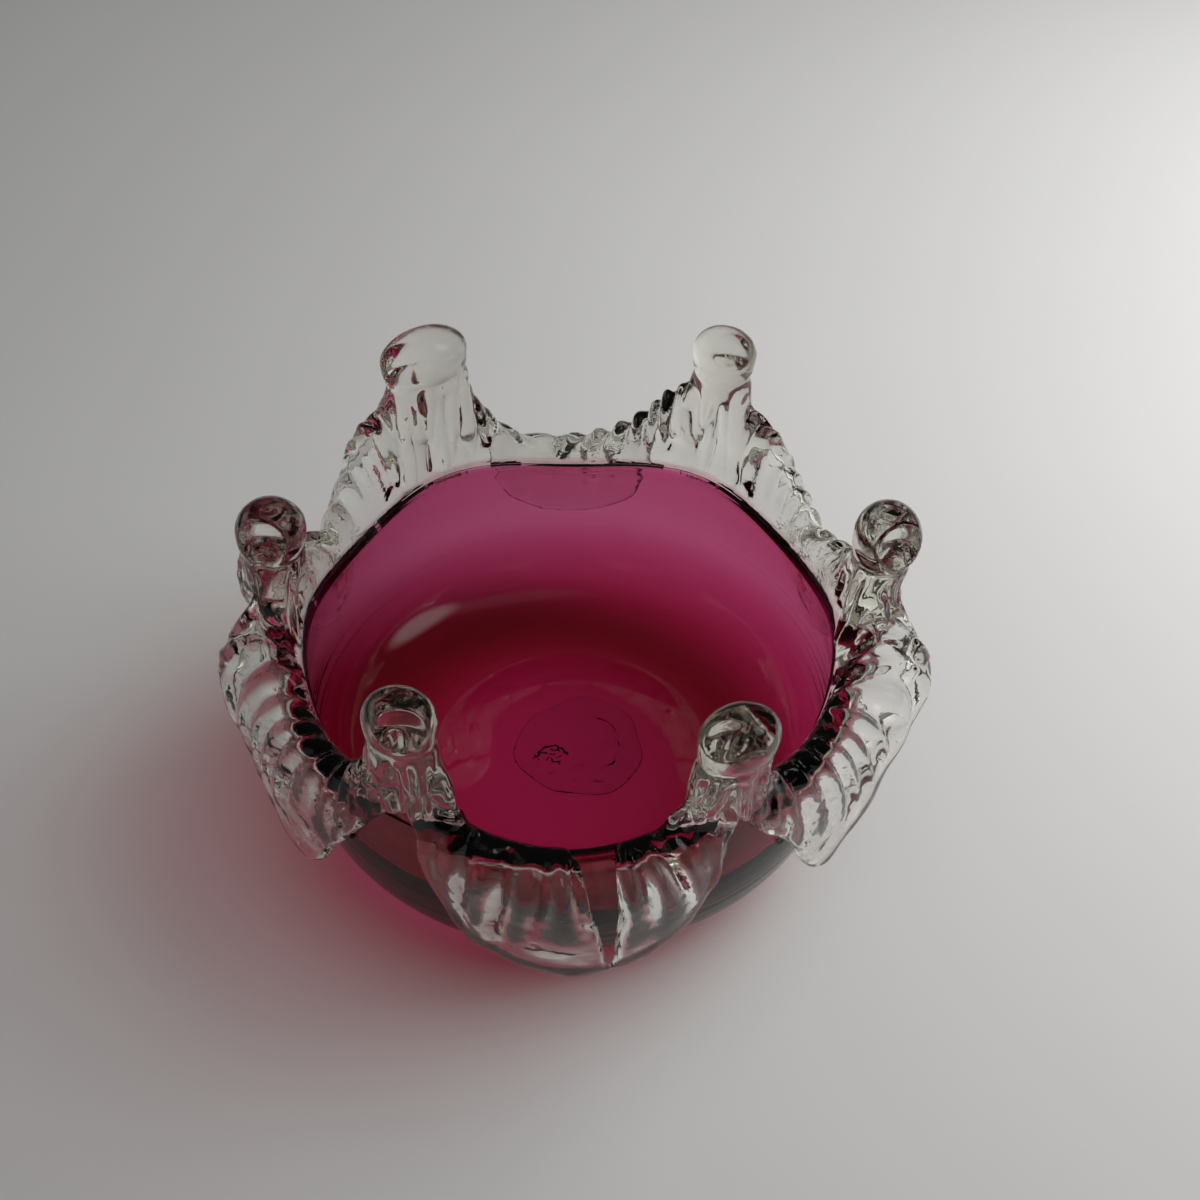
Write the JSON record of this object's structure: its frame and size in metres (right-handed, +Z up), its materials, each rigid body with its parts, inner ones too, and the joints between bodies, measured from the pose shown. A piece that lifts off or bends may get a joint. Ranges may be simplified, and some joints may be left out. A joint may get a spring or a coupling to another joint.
{
  "type": "glass bowl",
  "caption": "Small round cased glass bowl with a clear crimped frill round its rim, pulled up into fingers and let down in scallops.",
  "frame": {"origin": "on the bowl's axis, in the plane of the surface it stands on", "axes": "+Z up along the bowl's axis; -Y toward the slit where the frill's two ends meet, which is the front"},
  "size_m": [0.1207, 0.1151, 0.0679],
  "materials": {
    "ruby_glass": "fire polished",
    "casing_glass": "fire polished",
    "frill_glass": "fire polished",
    "pontil_glass": "rough, broken"
  },
  "bodies": {
    "root": {"bowl_ruby_cup": "ruby_glass", "bowl_clear_casing": "casing_glass", "frill_trail": "frill_glass", "pontil_wad": "pontil_glass"}
  },
  "joints": []
}
